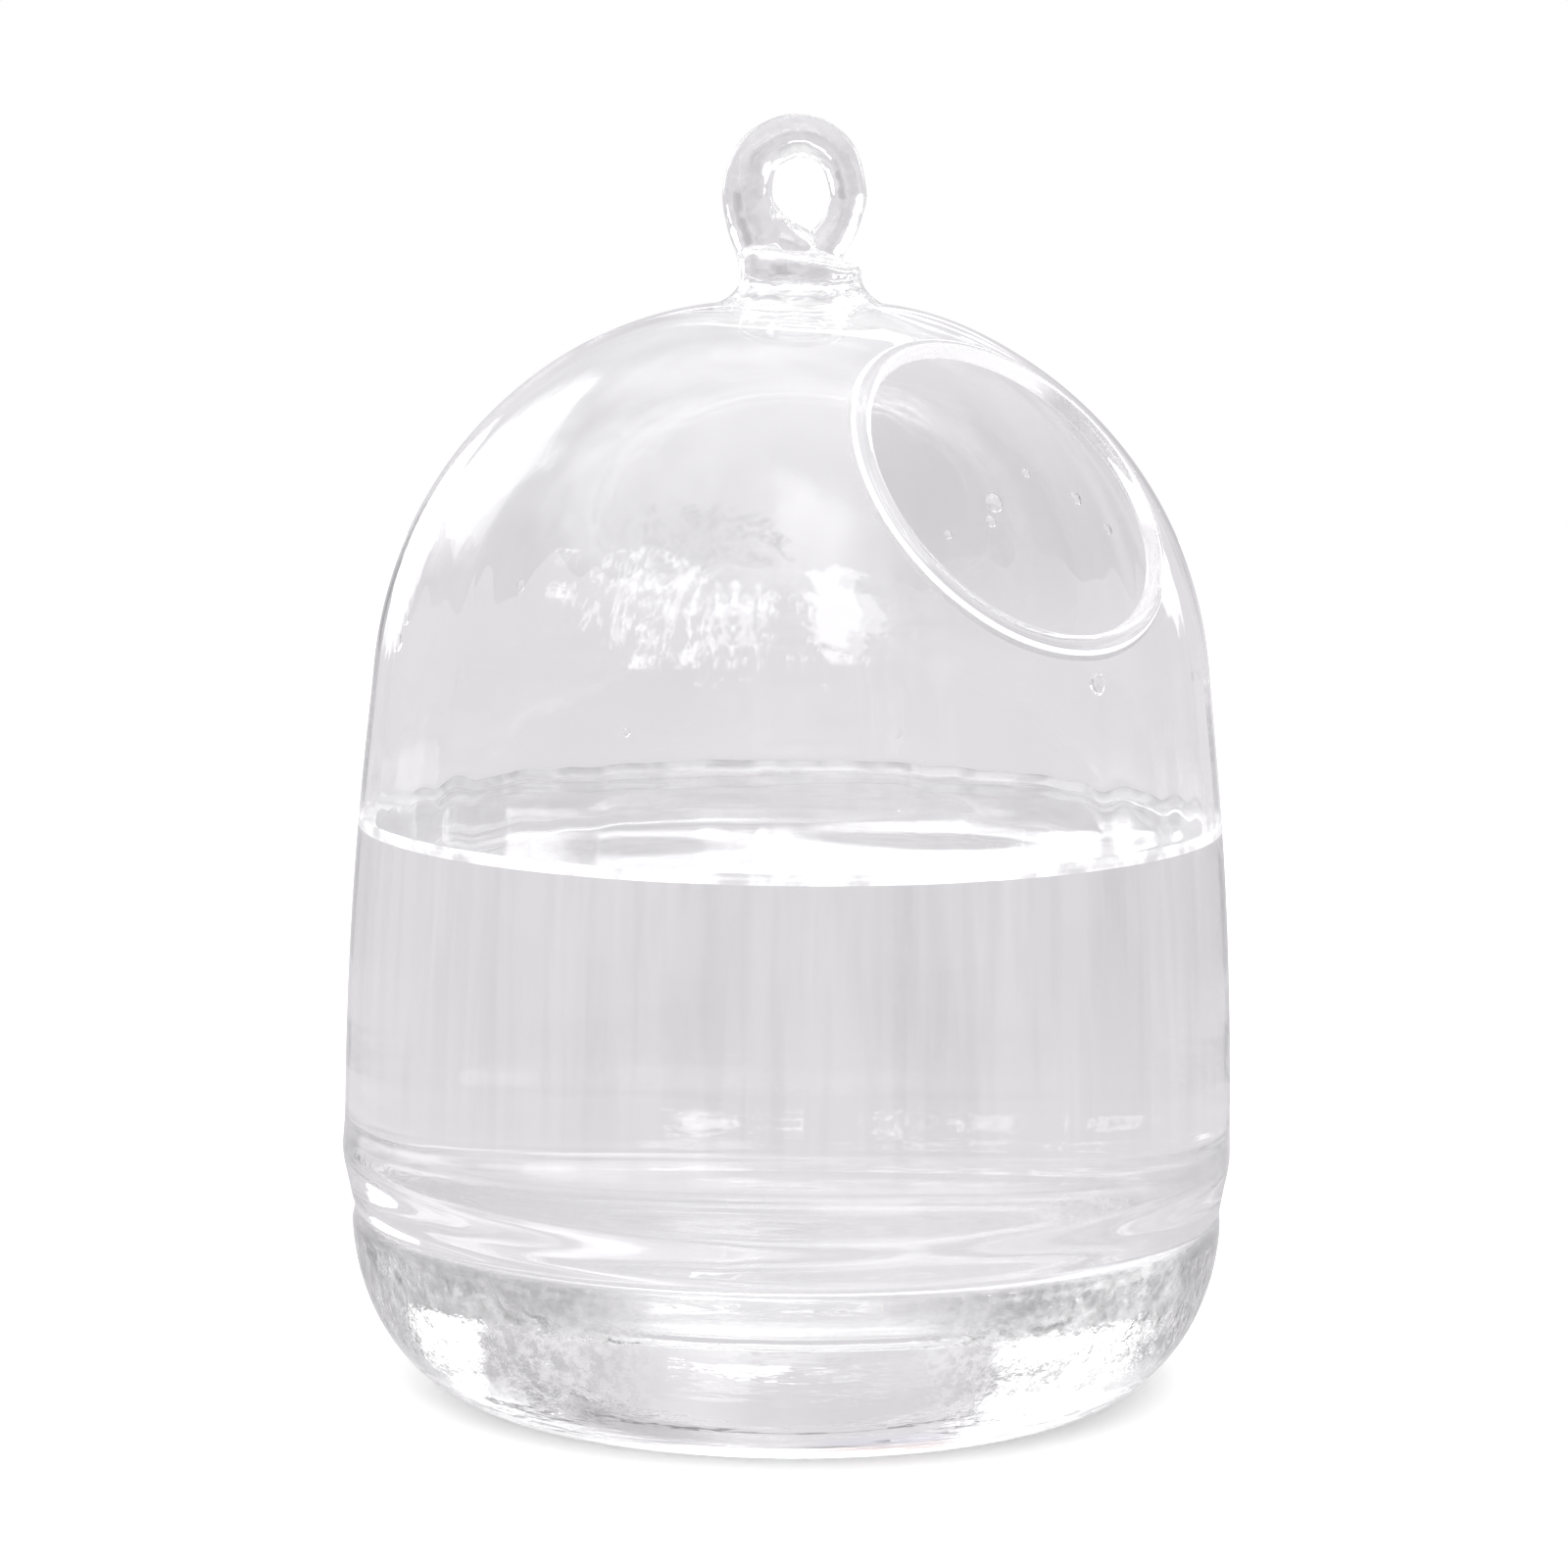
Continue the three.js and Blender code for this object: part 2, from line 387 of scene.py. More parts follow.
def zone(value, rise, fall):
    """Socket that rises smoothly from 0 to 1 over rise and drops back to 0 over fall."""
    return smooth_between(value, *rise) * (1 - smooth_between(value, *fall))


# The finishes


def clear_material(name, colour, index, roughness=0.0, bump=None, glow=None):
    """Clear glass or water. colour may be a function of the tree and the place that returns a colour's
    socket. bump and glow are such functions for the relief and the emission."""
    material = bpy.data.materials.new(name)
    tree = Tree(material)
    place = tree.place()
    values = {
        "Base Color": colour(tree, place) if callable(colour) else (*colour, 1),
        "IOR": index,
        "Roughness": roughness,
        "Transmission Weight": 1.0,
    }
    if bump:
        values["Normal"] = bump(tree, place)
    if glow:
        values["Emission Color"] = glow(tree, place)
        values["Emission Strength"] = 1.0
    tree.principled(values)
    return material


def joint_material():
    """The hidden face where two fused pieces meet: light goes straight through."""
    material = bpy.data.materials.new("fused_joint")
    tree = Tree(material)
    tree.output(tree.node("ShaderNodeBsdfTransparent"))
    return material


def lip_joint_material(name, tone, glow, top, right):
    """The hidden face behind the mouth's bead, made opaque: its tone and its emitted glow are painted
    highlight and painted shade, for the bright and grey lines of the bead. top and right
    are what is added to its glow along the bead's top, and on from there down the far right."""
    material = bpy.data.materials.new(name)
    tree = Tree(material)
    x, y, z = [axis - float(middle) for axis, middle in zip(tree.axes(tree.place()), LIP_CENTRE)]
    above = smooth_between(z, 0.5 * RING_RADIUS, 0.65 * RING_RADIUS)
    far = smooth_between(x, -0.05 * RING_RADIUS, 0.1 * RING_RADIUS)
    far = far * smooth_between(y, 0.6 * RING_RADIUS, 0.75 * RING_RADIUS)
    # Painted highlight and painted shade: the tone and the glow draw the bead's bright and grey lines.
    tree.principled(
        {
            "Base Color": (tone, 0.97 * tone, tone, 1),
            "Roughness": 0.5,
            "Emission Color": tree.grey(glow + above * top + (far - above * far) * right),
            "Emission Strength": 1.0,
        }
    )
    return material


def waterline_material():
    """Fine bubbles along the water's edge, more than half clear and pale, with a painted highlight: a glow
    that is brightest at the front.
    """
    material = bpy.data.materials.new("waterline_bubbles_and_painted_highlight")
    tree = Tree(material)
    place = tree.place()
    glint_noise = tree.noise(place, 160, 4)
    back = smooth_between(tree.axes(place)[1], -20 * MM, 30 * MM)
    # Painted highlight: the glow over the bubbles, faded towards the back.
    gleam = (0.35 + smooth_between(glint_noise, 0.35, 0.6) * 0.65) * (1 - back * 0.85)
    tree.principled(
        {
            "Base Color": tree.ramp(glint_noise, [(0.3, (0.82, 0.81, 0.83)), (0.6, (1, 1, 1))]),
            "IOR": WATER_INDEX,
            "Roughness": 0.2,
            "Transmission Weight": 0.6,
            "Emission Color": tree.grey(gleam),
            "Emission Strength": 0.6,
        }
    )
    return material


def streaks(tree, place):
    """Water tint with painted shade: faint darker upright streaks, some wide and some fine, that stand in
    for light bent by the wall's drawn streaks, and fade low in the body.
    """
    upright = tree.stretched(place, (1, 1, 0.045))
    wide = smooth_between(tree.noise(upright, 75, 3), 0.4, 0.6)
    fine = smooth_between(tree.noise(upright, 310, 2), 0.44, 0.6)
    height = tree.axes(place)[2]
    # Painted shade: the streaks darken the water's tint.
    return tree.grey(1 - (wide * 0.1 + fine * 0.06) * smooth_between(height, 40 * MM, 62 * MM))


def base_painted_shade_and_rainbow(tree, place):
    """Base tint with painted shade and a painted rainbow: a zone of fine dark specks under the base's rim,
    on the left and right of the front, with a ragged lower edge, darkest low down and on the right, which
    stands in for the darker light that the thick glass bends in, and a faint painted rainbow of split light
    at the foot's front edge."""
    x, y, z = tree.axes(place)
    back = smooth_between(y, -30 * MM, 0.0)
    specks = smooth_between(tree.noise(place, 380, 8, 0.75), 0.42, 0.56)
    ragged = tree.noise(tree.stretched(place, (1, 1, 0.35)), 120, 8, 0.75)
    band = smooth_between(z + (ragged - 0.5) * (24 * MM), 8 * MM, 11 * MM)
    band = band * (1 - smooth_between(z, 28.5 * MM, 29.8 * MM))
    side = smooth_between(abs(x), 14 * MM, 40 * MM) * (1 - back * 0.8)
    side = side * (1 - smooth_between(z, 17 * MM, 23 * MM) * 0.32)
    side = side * (1 + smooth_between(x, 0.0, 20 * MM) * 0.25)
    # Painted shade: darker specks in the band and on the sides, for light bent darker through the base.
    tone = tree.grey(0.985 - band * side * (specks * 0.4 + 0.15))
    # Painted rainbow of split light at the foot's front edge.
    edge = zone(x, (2 * MM, 12 * MM), (22 * MM, 30 * MM)) * (1 - back)
    rainbow = tree.ramp(
        smooth_between(z, 0.0, 6.5 * MM),
        [
            (0.04, (1, 1, 1)),
            (0.14, (0.98, 0.73, 0.67)),
            (0.45, (0.98, 0.88, 0.88)),
            (0.65, (0.84, 0.84, 0.98)),
            (1.0, (1, 1, 1)),
        ],
    )
    return tree.mixed("MULTIPLY", edge, tone, rainbow)


def chill_bump(tree, place):
    """Base relief: ripples left by cooling, a millimetre or two across at the left and right, and long,
    level and softer in the middle. They fade at the rim and near the foot, and lower at the back."""
    x, y, z = tree.axes(place)
    side = smooth_between(abs(x), 12 * MM, 45 * MM)
    back = smooth_between(y, -30 * MM, 0.0)
    top = smooth_between(z, 19 * MM, 24 * MM) * back + smooth_between(z, 25 * MM, 29 * MM)
    fine = tree.noise(place, 130, 5, 0.6) * side * (1 - smooth_between(top, 0.0, 1.0))
    fine = fine * smooth_between(z, 6 * MM, 13 * MM)
    level = tree.noise(tree.stretched(place, (0.16, 0.5, 1)), 150, 4) * (0.3 - side * 0.3)
    level = level * zone(z, (3 * MM, 8 * MM), (18 * MM, 24 * MM))
    return tree.relief(fine + level, 0.9 * MM)


def gather_marks(tree, place):
    """Neck tint: soft upright streaks and cords left by gathering."""
    cords = tree.noise(tree.stretched(place, (1, 1, 0.3)), 230, 4)
    return tree.grey(0.99 - smooth_between(cords, 0.42, 0.62) * 0.16)


def bend_marks(tree, place):
    """Eye tint: soft grey clouds a few millimetres across, left by heating and bending."""
    clouds = tree.noise(place, 260, 4, 0.6)
    return tree.grey(0.985 - smooth_between(clouds, 0.42, 0.6) * 0.09)


def weld_gleam(tree, place):
    """Painted highlight along the weld of the eye: a glowing pale wavy band, broken up by noise, that
    drops a little to the right.
    """
    x, _, z = tree.axes(place)
    glint_noise = tree.noise(place, 300, 3)
    height = z + (x - NECK_X) * 0.09 + (glint_noise - 0.5) * (3 * MM)
    low = (NECK_TOP - 1.4 * MM, NECK_TOP - 0.8 * MM)
    high = (NECK_TOP - 0.4 * MM, NECK_TOP + 0.4 * MM)
    # Painted highlight: the band's glow.
    return tree.grey(zone(height, low, high) * smooth_between(glint_noise, 0.3, 0.7) * 0.3)


def dents(size, depth):
    """Relief of glass that was worked hot: soft dents of about the size, each 0.6 of a noise cell."""

    def relief(tree, place):
        return tree.relief(tree.noise(place, 0.6 / size, 2), depth)

    return relief


eye_dents = dents(3.8 * MM, 0.6 * MM)
stub_dents = dents(2.8 * MM, 0.8 * MM)
# The eye's glow is the painted highlight along the weld.
eye_glass = clear_material("bent_glass", bend_marks, GLASS_INDEX, 0.06, eye_dents, weld_gleam)
stub_glass = clear_material("gathered_glass", gather_marks, GLASS_INDEX, 0.12, stub_dents)
wall_glass = clear_material("blown_glass", (0.985, 0.985, 0.987), GLASS_INDEX)
base_glass = clear_material("thick_glass", base_painted_shade_and_rainbow, GLASS_INDEX, bump=chill_bump)
water_clear = clear_material("still_water", streaks, WATER_INDEX)
drop_clear = clear_material("drop_water", (0.99, 0.99, 0.992), WATER_INDEX)
waterline = waterline_material()
joint = joint_material()
# The bead's hidden faces, painted highlight lines: bright at the outside, grey with a brighter top in the
# middle, grey with a bright top and far right at the inside.
bright_joint = lip_joint_material("bead_painted_highlight", 0.9, 0.8, top=0, right=0)
grey_joint = lip_joint_material("bead_painted_glow", 0.66, 0.36, top=0.3, right=-0.1)
edge_joint = lip_joint_material("bead_painted_rim_highlight", 0.66, 0.36, top=0.3, right=0.6)


# The profile of the body


def wall_profile():
    """The outside from the rim of the base to the shoulder: two Bezier bends."""
    rim = (BASE_RADIUS, BASE_HEIGHT)
    belly = (BELLY_RADIUS, BELLY_HEIGHT)
    shoulder = (SHOULDER_RADIUS, SHOULDER_HEIGHT)
    low = BELLY_HEIGHT - BASE_HEIGHT
    rise = SHOULDER_HEIGHT - BELLY_HEIGHT
    lower = bezier([rim, (rim[0], rim[1] + 0.4 * low), (belly[0], belly[1] - 0.4 * low), belly], 18)
    upper = bezier(
        [
            belly,
            (belly[0], belly[1] + 0.53 * rise),
            (shoulder[0] + SHOULDER_LEAN * 0.14 * rise, shoulder[1] - 0.14 * rise),
            shoulder,
        ],
        34,
    )
    return joined(lower, upper)


def dome_profile():
    """The outside from the shoulder to the seat of the neck: one Bezier bend."""
    shoulder = (SHOULDER_RADIUS, SHOULDER_HEIGHT)
    seat = (SEAT_RADIUS, DOME_HEIGHT)
    rise = DOME_HEIGHT - SHOULDER_HEIGHT
    return bezier(
        [
            shoulder,
            (shoulder[0] - SHOULDER_LEAN * 0.62 * rise, shoulder[1] + 0.62 * rise),
            (seat[0] + 0.4 * (shoulder[0] - seat[0]), seat[1] - 0.035 * rise),
            seat,
        ],
        84,
    )


def base_profile():
    """The outside of the base from the edge of its flat foot to its rim: one Bezier bend."""
    foot = (FOOT_RADIUS, 0)
    rim = (BASE_RADIUS, BASE_HEIGHT)
    out = rim[0] - foot[0]
    return bezier([foot, (foot[0] + QUARTER * out, 0.13 * rim[1]), (rim[0], 0.5 * rim[1]), rim], 44)


def dish_profile():
    """The dished top of the base from the inside of the wall to the middle: a quarter bend, then flat."""
    edge = (BASE_RADIUS - WALL, BASE_HEIGHT)
    flat = (edge[0] - DISH_CORNER, FLOOR_HEIGHT)
    depth = BASE_HEIGHT - FLOOR_HEIGHT
    corner = [edge, (edge[0], edge[1] - QUARTER * depth), (flat[0] + QUARTER * DISH_CORNER, flat[1]), flat]
    return joined(bezier(corner, 24), line(flat, (0, FLOOR_HEIGHT), 20))


def body_inside():
    """The inside of the wall and of the dome, a wall's thickness in from the outside."""
    wall = wall_profile()
    inner = inset(joined(wall, dome_profile()), WALL)
    return inner[: len(wall)], inner[len(wall) - 1 :]


# The glass


def make_base():
    """Thick foot: flat below, rounded outside, dished above. Its hidden joint is under the wall."""
    outside = turned(joined(line((0, 0), (FOOT_RADIUS, 0), 16), base_profile()), outside_bump)
    inside = turned(dish_profile(), inside_bump)
    outside[-1, :, 2] -= HAIR
    inside[0, :, 2] -= HAIR
    shell = Shell()
    shell.add(outside)
    shell.add(np.stack([outside[-1], inside[0]]), 1)
    shell.add(inside)
    return shell.build("base_glass", [base_glass, joint])


def make_wall():
    """Blown wall from the rim of the base to the shoulder, with a hidden joint at both ends."""
    outside = turned(wall_profile(), outside_bump)
    inside = turned(body_inside()[0][::-1], inside_bump)
    outside[-1, :, 2] -= HAIR
    inside[0, :, 2] -= HAIR
    shell = Shell()
    shell.add(outside)
    shell.add(np.stack([outside[-1], inside[0]]), 1)
    shell.add(inside)
    shell.add(np.stack([inside[-1], outside[0]]), 1)
    return shell.build("body_wall_glass", [wall_glass, joint])


def mouth_frame():
    """The mouth's axis, and two directions square to it: one level and one up the dome."""
    axis = np.array(
        [
            cos(MOUTH_ELEVATION) * cos(MOUTH_AZIMUTH),
            cos(MOUTH_ELEVATION) * sin(MOUTH_AZIMUTH),
            sin(MOUTH_ELEVATION),
        ]
    )
    level = np.array([-sin(MOUTH_AZIMUTH), cos(MOUTH_AZIMUTH), 0])
    return axis, level, np.cross(axis, level)


def mouth_ring():
    """The mouth's middle, the outward direction at each point of its rim, and the rim's radius there: a
    circle, a little flatter at its lowest side."""
    level, up = mouth_frame()[1:]
    phi = np.linspace(0, 2 * pi, RIM, endpoint=False)[:, None]
    spoke = np.cos(phi) * level + np.sin(phi) * up
    radius = RING_RADIUS - RING_FLAT * (0.5 - 0.5 * np.sin(phi)) ** 2
    return LIP_CENTRE + RING_LIFT * up, spoke, radius


def reach(beyond, inner):
    """Height along the mouth's axis, from its middle, at which the outside or inside of the dome lies
    above each point that is the distance beyond the rim. Found by halving 60 mm forty times."""
    axis = mouth_frame()[0]
    middle, spoke, ring = mouth_ring()
    start = middle + (ring + beyond) * spoke
    wall, dome = body_inside() if inner else (wall_profile(), dome_profile())
    profile = joined(wall, dome)
    bump = inside_bump if inner else outside_bump
    low = np.full((RIM, 1), -30 * MM)
    high = np.full((RIM, 1), 30 * MM)
    for _ in range(40):
        half = (low + high) / 2
        x, y, z = np.split(start + half * axis, 3, axis=1)
        limit = np.interp(z, profile[:, 1], profile[:, 0]) + bump(np.arctan2(y, x), z)
        within = (z < profile[-1, 1]) & (np.hypot(x, y) < limit)
        low = np.where(within, half, low)
        high = np.where(within, high, half)
    return low


def make_lip():
    """Melted bead round the mouth: in each half plane through the mouth's axis, two Bezier bends that
    leave the dome's outside and inside and a round end between them. The hidden face behind it is parted
    into three strips, from the inside to the outside, each with its own painted highlight glow."""
    axis = mouth_frame()[0]
    middle, spoke, ring = mouth_ring()
    width = LIP_WIDTH - HAIR
    step = 0.2 * MM
    sides = (False, True)
    tops = [reach(width, inner) for inner in sides]
    slopes = [(reach(width + step, inner) - top) / step for inner, top in zip(sides, tops)]
    height = (reach(0, False) + reach(0, True)) / 2
    lean = ((tops[0] + tops[1]) / 2 - height) / LIP_WIDTH
    long = np.sqrt(1 + lean**2)
    out = np.hstack([1 / long, lean / long])
    square = np.hstack([-lean / long, 1 / long])
    centre = np.hstack([ring, height])
    handle = 0.42 * LIP_WIDTH
    bends = []
    for side, top, slope in zip((1, -1), tops, slopes):
        start = np.hstack([ring + width, top])
        leave = np.hstack([1 + 0 * slope, slope]) / np.sqrt(1 + slope**2)
        end = centre + side * BEAD_RADIUS * square
        bends.append(bezier([start, start - handle * leave, end + handle * out, end], 14))
    alpha = np.linspace(pi / 2, 3 * pi / 2, 22)[:, None, None]
    bead = centre + BEAD_RADIUS * (np.cos(alpha) * out + np.sin(alpha) * square)
    section = np.vstack([bends[0], bead[1:-1], bends[1][::-1]])
    grid = middle + section[..., :1] * spoke + section[..., 1:] * axis
    outer, inner = grid[0], grid[-1]
    seams = [inner, inner * 0.66 + outer * 0.34, (inner + outer) * 0.5, outer]
    shell = Shell()
    shell.add(grid)
    for near, far, material in zip(seams, seams[1:], (3, 2, 1)):
        shell.add(np.stack([near, far]), material)
    return shell.build("mouth_lip_glass", [wall_glass, bright_joint, grey_joint, edge_joint])


def make_cutter():
    """A prism round the mouth's axis whose side cuts the dome where the lip joins it."""
    axis = mouth_frame()[0]
    middle, spoke, ring = mouth_ring()
    depth = 24 * MM
    ends = [middle + (ring + LIP_WIDTH) * spoke + side * depth * axis for side in (-1, 1)]
    caps = [middle + 0 * spoke + side * depth * axis for side in (-1, 1)]
    shell = Shell()
    shell.add(np.stack([caps[0], ends[0], ends[1], caps[1]]))
    return shell.build("mouth_cutter", [joint])


def make_dome():
    """Blown dome with the mouth cut out. The faces at the shoulder, round the mouth and under the neck
    are hidden joints."""
    outside = turned(dome_profile(), outside_bump, crown_shift)
    outside[-1, :, 2] -= HAIR
    seat = turned(line((SEAT_RADIUS, DOME_HEIGHT), (0, DOME_HEIGHT), 6), outside_bump, crown_shift)
    seat[..., 2] -= HAIR
    inner = body_inside()[1][::-1]
    inside = turned(joined(line((0, inner[0, 1]), inner[0], 8), inner), inside_bump)
    shell = Shell()
    shell.add(outside)
    shell.add(seat, 1)
    shell.add(inside)
    shell.add(np.stack([inside[-1], outside[0]]), 1)
    dome = shell.build("dome_glass", [wall_glass, joint])
    cutter = make_cutter()
    cut = dome.modifiers.new("mouth", "BOOLEAN")
    cut.operation = "DIFFERENCE"
    cut.solver = "EXACT"
    cut.object = cutter
    cut.material_mode = "TRANSFER"
    mesh = applied(dome)
    bpy.data.objects.remove(cutter)
    return finished(mesh, "dome_glass")


def make_neck():
    """Solid stub: a flare off the crown, then straight up to the weld. Both ends are hidden joints."""
    rise = WELD_HEIGHT - DOME_HEIGHT
    flare = bezier(
        [
            (SEAT_RADIUS, DOME_HEIGHT),
            (SEAT_RADIUS - 1.5 * MM, DOME_HEIGHT + 0.5 * MM),
            (NECK_RADIUS, DOME_HEIGHT + 0.45 * rise),
            (NECK_RADIUS, DOME_HEIGHT + 0.9 * rise),
        ],
        24,
    )
    flare = joined(flare, line(flare[-1], (NECK_RADIUS, WELD_HEIGHT), 4))
    foot = line((0, DOME_HEIGHT), (SEAT_RADIUS, DOME_HEIGHT), 6)
    top = line((NECK_RADIUS, WELD_HEIGHT), (0, WELD_HEIGHT), 6)
    shell = Shell()
    shell.add(turned(foot, outside_bump, neck_shift), 1)
    shell.add(turned(flare, None, neck_shift))
    shell.add(turned(top, None, neck_shift), 1)
    return shell.build("neck_glass", [stub_glass, joint])


CANE = (  # X, Z and radius in millimetres, from the left foot round the eye to the right foot
    (-4.9, 186.5, 4.4),
    (-5.4, 191.2, 4.5),
    (-7.3, 196.2, 4.3),
    (-8.1, 201.4, 4.1),
    (-6.15, 207.4, 3.8),
    (0.3, 210.45, 3.65),
    (6.35, 207.7, 3.3),
    (8.65, 201.4, 3.05),
    (8.15, 197.9, 3.05),
    (7.05, 195.1, 3.1),
    (5.4, 192.6, 3.3),
    (3.9, 189.8, 3.7),
    (3.4, 186.5, 4.2),
)
WELD = (  # the same for the glass that has run from the eye's left side across the neck's top
    (-7.6, 199.0, 3.5),
    (-5.7, 196.1, 3.6),
    (-3.9, 194.1, 3.6),
    (-1.8, 192.75, 3.6),
    (0.6, 191.65, 3.5),
    (3.6, 190.4, 3.0),
)


def swept(stations):
    """A closed tube along a smooth route in the plane Y = 0. The stations of X, Z and radius are joined
    by Catmull-Rom curves, each ring is a circle square to the route, and both ends are capped."""
    control = np.array(stations)
    control = np.vstack([2 * control[0] - control[1], control, 2 * control[-1] - control[-2]])
    t = np.linspace(0, 1, 12, endpoint=False)[:, None]
    runs = []
    for a, b, c, d in zip(control[:-3], control[1:-2], control[2:-1], control[3:]):
        second = 2 * a - 5 * b + 4 * c - d
        third = 3 * b - a - 3 * c + d
        runs.append(0.5 * (2 * b + (c - a) * t + second * t**2 + third * t**3))
    path = np.vstack(runs + [control[-2:-1]]) * MM
    along = np.gradient(path[:, :2], axis=0)
    along /= np.linalg.norm(along, axis=1)[:, None]
    side = np.c_[-along[:, 1], along[:, 0]]
    alpha = np.linspace(0, 2 * pi, 40, endpoint=False)[None, :, None]
    radius = path[:, None, 2:]
    flat = path[:, None, :2] + radius * np.cos(alpha) * side[:, None, :]
    grid = np.concatenate([flat[..., :1], radius * np.sin(alpha), flat[..., 1:]], axis=2)
    ends = [ring.mean(axis=0) + 0 * grid[:1] for ring in (grid[0], grid[-1])]
    return np.vstack([ends[0], grid, ends[1]])


def neck_top():
    """The neck's top, from 3 mm below the weld: straight sides, a rounded edge and a flat that slopes
    down to the right."""
    foot = WELD_HEIGHT - 3 * MM
    top = NECK_TOP - 0.6 * MM
    bend = top - 1.2 * MM
    flat = NECK_RADIUS - 1.3 * MM
    edge = [(NECK_RADIUS, bend), (NECK_RADIUS, top - 0.5 * MM), (NECK_RADIUS - 0.5 * MM, top), (flat, top)]
    profile = joined(
        line((0, foot), (NECK_RADIUS, foot), 3),
        line((NECK_RADIUS, foot), (NECK_RADIUS, bend), 18),
        bezier(edge, 6),
        line((flat, top), (0, top), 3),
    )
    grid = turned(profile, None, neck_shift)
    slope = 0.15
    above = smooth((grid[..., 2] - WELD_HEIGHT) / (1.5 * MM))
    grid[..., 2] -= above * slope * (grid[..., 0] - NECK_X)
    return grid


def make_loop():
    """Bent cane whose feet have run together on the neck: swept canes and the neck's top, fused by a
    voxel remesh, smoothed, and cut level at the weld, where the hidden joint is."""
    shell = Shell()
    for grid in (swept(CANE), swept(WELD), neck_top()):
        shell.add(grid)
    raw = shell.build("hanger_loop_raw", [eye_glass])
    fuse = raw.modifiers.new("fuse", "REMESH")
    fuse.mode = "VOXEL"
    fuse.voxel_size = 0.28 * MM
    melt = raw.modifiers.new("melt", "SMOOTH")
    melt.factor = 0.5
    melt.iterations = 14
    mesh = applied(raw)
    shape = bmesh.new()
    shape.from_mesh(mesh)
    whole = shape.verts[:] + shape.edges[:] + shape.faces[:]
    cut = bmesh.ops.bisect_plane(
        shape, geom=whole, plane_co=(0, 0, WELD_HEIGHT + HAIR), plane_no=(0, 0, 1), clear_inner=True
    )
    rim = [edge for edge in cut["geom_cut"] if isinstance(edge, bmesh.types.BMEdge)]
    filled = bmesh.ops.holes_fill(shape, edges=rim, sides=0)
    for face in filled["faces"]:
        face.material_index = 1
    bmesh.ops.recalc_face_normals(shape, faces=shape.faces)
    shape.to_mesh(mesh)
    shape.free()
    mesh.materials.append(joint)
    return finished(mesh, "hanger_loop_glass")


# The water


RIPPLES = (  # radians in a metre along X and along Y, phase in radians, height in millimetres
    (0, 34, 0.05, 0.62),
    (70, 60, 0.6, 0.12),
    (-80, 120, 2.4, 0.07),
    (50, 200, 4.0, 0.025),
    (170, -80, 2.2, 0.02),
)


def ripple(x, y):
    """Slow waves of the water's top: the sum of five sine waves across it, each the sine of its turn
    along X, plus its turn along Y from 45 mm in front of the axis, plus its phase."""
    return sum(size * MM * np.sin(a * x + b * (y + 45 * MM) + p) for a, b, p, size in RIPPLES)


def make_water():
    """Water from the dish up to its level top, which climbs the wall in a meniscus (an exponential
    fall away from the glass). Its sides reach into the glass, so that no air shows between. The rings
    of its top are closest together at the glass."""
    soak = 0.08 * MM  # how far it reaches into the glass
    climb = 1.9 * MM  # height of the meniscus
    fall = 2.2 * MM  # distance in which the meniscus drops to about a third
    bubbly = 2.6 * MM  # width of the line of bubbles
    still = 12 * MM  # distance from the glass in which the ripples reach their full height
    side = inset(wall_profile(), WALL - soak)
    edge = np.interp(WATER_HEIGHT, side[:, 1], side[:, 0])
    wall = side[side[:, 1] < WATER_HEIGHT][2:]
    dish = inset(dish_profile()[::-1], -soak)
    dish[0, 0] = 0
    radius = edge * (1 - (1 - np.linspace(0, 1, 90)) ** 2.5)[::-1]
    inward = edge - radius
    top = turned(np.c_[radius, WATER_HEIGHT + climb * np.exp(-inward / fall)], inside_bump)
    top[..., 2] += smooth(inward / still)[:, None] * ripple(top[..., 0], top[..., 1])
    band = int(np.argmax(inward > bubbly))
    sides = turned(np.vstack([dish[-1:], wall, (edge, WATER_HEIGHT)]), inside_bump)
    shell = Shell()
    shell.add(turned(dish, inside_bump))
    shell.add(sides)
    shell.add(np.stack([sides[-1], top[0]]), 1)
    shell.add(top[: band + 1], 1)
    shell.add(top[band:])
    return shell.build("water_body", [water_clear, waterline])


DROPS = (  # azimuth in degrees, height and radius in millimetres, on the inside of the glass
    (53.9, 145.9, 1.6),
    (55.5, 142.4, 1.0),
    (44.7, 151.8, 0.8),
    (34.2, 148.1, 1.1),
    (28.4, 143.0, 0.9),
    (64.0, 139.4, 0.7),
    (-44.4, 124.6, 1.5),
    (-163.5, 134.1, 1.2),
    (-158.4, 131.2, 0.8),
    (-160.2, 127.6, 1.5),
    (75.5, 102.0, 0.7),
    (138.0, 131.0, 1.0),
    (-112.0, 118.0, 0.6),
    (176.0, 140.0, 0.9),
    (5.0, 120.0, 1.1),
)


